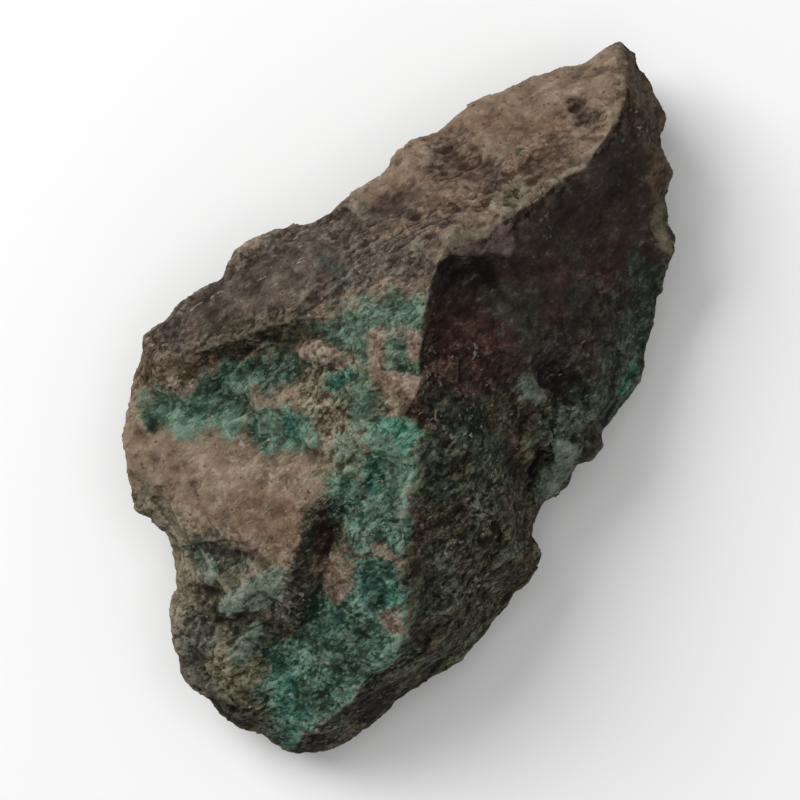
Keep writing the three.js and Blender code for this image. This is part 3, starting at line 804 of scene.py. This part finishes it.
# The olive rock is broken into small pale and dark chips
broken = product(olive_share, dark_share)
pale_chips = product(broken, remap(small_flakes[2], 0.86, 0.89, 0.0, 0.35))
dark_chips = product(broken, remap(large_flakes[2], 0.72, 0.75, 0.0, 0.35))
colour = blend(pale_chips, colour, srgb(104, 106, 92))
colour = blend(dark_chips, colour, srgb(20, 18, 12))

# Fine pale and dark crystals on the chrysocolla
crystal_zone = remap(weighted((ragged, 0.8), (measured("chrysocolla"), 1.0)), -0.1, 0.1)
pale_crystals = product(crystal_zone, remap(splinters[1], 0.9, 0.94), 0.24)
dark_crystals = product(crystal_zone, remap(splinters[2], 0.88, 0.92), 0.28)
colour = blend(pale_crystals, colour, srgb(140, 168, 154))
colour = blend(dark_crystals, colour, srgb(24, 44, 36))

# Painted shade with dust in the hollows and pits, pin-holes, and worn edges with a painted highlight
# painted shade with dust: hollows near and far are multiplied darker
hollow_dust_and_shade = weighted((remap(near, 0.0, -0.12), 0.4), (remap(far, 0.0, -0.8), 0.15))
colour = blend(hollow_dust_and_shade, colour, srgb(62, 50, 38), "MULTIPLY")
# painted shade with dust inside the pits
pit_dust_and_shade = product(remap(near, -0.06, -0.16), measured("pitted"), 0.6)
colour = blend(pit_dust_and_shade, colour, srgb(50, 38, 29))
pin_holes = calculate("MAXIMUM", dots(bent, 1.05, 0.3, 0.42), dots(bent, 2.2, 0.25, 0.45))
pin_hole_zone = remap(calculate("ADD", ragged, measured("pitted")), -0.1, 0.8)
colour = blend(product(pin_holes, pin_hole_zone, 0.5), colour, srgb(56, 43, 34))
# painted highlight with wear: proud places are lightened, more on the pale side than the dark side
wear_and_edge_highlight = product(remap(near, 0.03, 0.14), remap(dark_share, 0.0, 1.0, 0.12, 0.04))
colour = blend(wear_and_edge_highlight, colour, srgb(160, 152, 138))

# Pale flecks in chains, painted glints (painted highlights), scratches, dark specks and cracks
flecked = remap(weighted((ragged, 1.2), (measured("flecked"), 1.0)), -0.4, 0.5)
fleck_zone = weighted((flecked, 0.75), start=0.03)
chain_ridge = calculate("ABSOLUTE", calculate("SUBTRACT", grain(bent, 0.13, 4, 0.6, 0.8), 0.5))
chains = remap(chain_ridge, 0.045, 0.012)
flecks = weighted((dots(across_layers, 1.5, 0.4, 0.5), 1.0), (dots(across_layers, 2.8, 0.5, 0.5), 0.6))
flecks = product(calculate("MINIMUM", flecks, 1.0), chains, fleck_zone)
colour = blend(flecks, colour, srgb(140, 140, 125))
# painted highlights: small bright glints, fewer on the powdery places
painted_glints = dots(splinter_place, 2.3, 0.035, 0.5)
painted_glint_zone = remap(powdery, 0.0, 0.6, 0.32, 0.05)
colour = blend(product(painted_glints, painted_glint_zone), colour, srgb(160, 160, 148))
streaks = remap(grain(streak_place, 0.9, 3, 0.6, 1.2), 0.6, 0.65)
scratched = remap(calculate("ADD", ragged, measured("scratched")), -0.2, 0.6)
colour = blend(product(streaks, scratched, 0.5), colour, srgb(156, 146, 130))
specks = dots(bent, 1.8, 0.06, 0.42)
colour = blend(product(specks, 0.6), colour, srgb(40, 31, 24))
crack_ridge = calculate("ABSOLUTE", calculate("SUBTRACT", grain(bent, 0.5, 3, 0.55, 0.8), 0.5))
cracks = product(remap(crack_ridge, 0.012, 0.004), remap(fine, 0.48, 0.6), 0.5)
colour = blend(cracks, colour, srgb(34, 28, 22))

# Flakes raised by bump, and the lustre
height_mm = weighted(
    (facets(bent, 0.62), 0.2), (facets(bent, 1.5), 0.22), (facets(splinter_place, 2.3), 0.25), (fine, 0.1),
)
height = product(height_mm, gritty)
bump = add_node("ShaderNodeBump", {"Height": height, "Strength": 1.0, "Distance": 1 / MM})
roughness = remap(finest, 0.3, 0.7, 0.95, 0.72)
surface = add_node(
    "ShaderNodeBsdfPrincipled",
    {"Base Color": colour, "Roughness": roughness, "Normal": bump.outputs[0], "Specular IOR Level": 0.15},
)
add_node("ShaderNodeOutputMaterial", {"Surface": surface.outputs[0]})
stone_mesh.materials.clear()
stone_mesh.materials.append(material)


# The studio: a pale table with soft light. The main light comes from the upper left of the
# photograph, and an even pale sky fills the shadows.
TABLE_SIDE = 8.0
table_mesh = bpy.data.meshes.new("table")
table_form = bmesh.new()
bmesh.ops.create_grid(table_form, x_segments=1, y_segments=1, size=TABLE_SIDE / 2)
table_form.to_mesh(table_mesh)
table_form.free()
table = bpy.data.objects.new("table", table_mesh)
bpy.context.scene.collection.objects.link(table)
table_material = bpy.data.materials.new("pale card")
table_material.use_nodes = True
table_material.node_tree.nodes["Principled BSDF"].inputs["Base Color"].default_value = (0.9, 0.9, 0.9, 1)
table_material.node_tree.nodes["Principled BSDF"].inputs["Roughness"].default_value = 0.9
table_mesh.materials.append(table_material)

lights = {
    "key light": (Vector((-0.75, 0.60, 0.95)), 0.8, 15.0),
    "top light": (Vector((0.15, 0.1, 1.5)), 1.2, 5.0),
}
for light_name, (location, side, power) in lights.items():
    light_data = bpy.data.lights.new(light_name, "AREA")
    light_data.size = side
    light_data.energy = power
    light = bpy.data.objects.new(light_name, light_data)
    aim = (Vector((0, 0, 0.02)) - location).to_track_quat("-Z", "Y").to_matrix().to_4x4()
    light.matrix_world = Matrix.Translation(location) @ aim
    light.visible_camera = False
    bpy.context.scene.collection.objects.link(light)

sky = bpy.data.worlds.new("pale sky")
sky.use_nodes = True
sky.node_tree.nodes["Background"].inputs["Color"].default_value = (1, 1, 1, 1)
sky.node_tree.nodes["Background"].inputs["Strength"].default_value = 0.36
bpy.context.scene.world = sky
bpy.context.scene.view_settings.view_transform = "Standard"
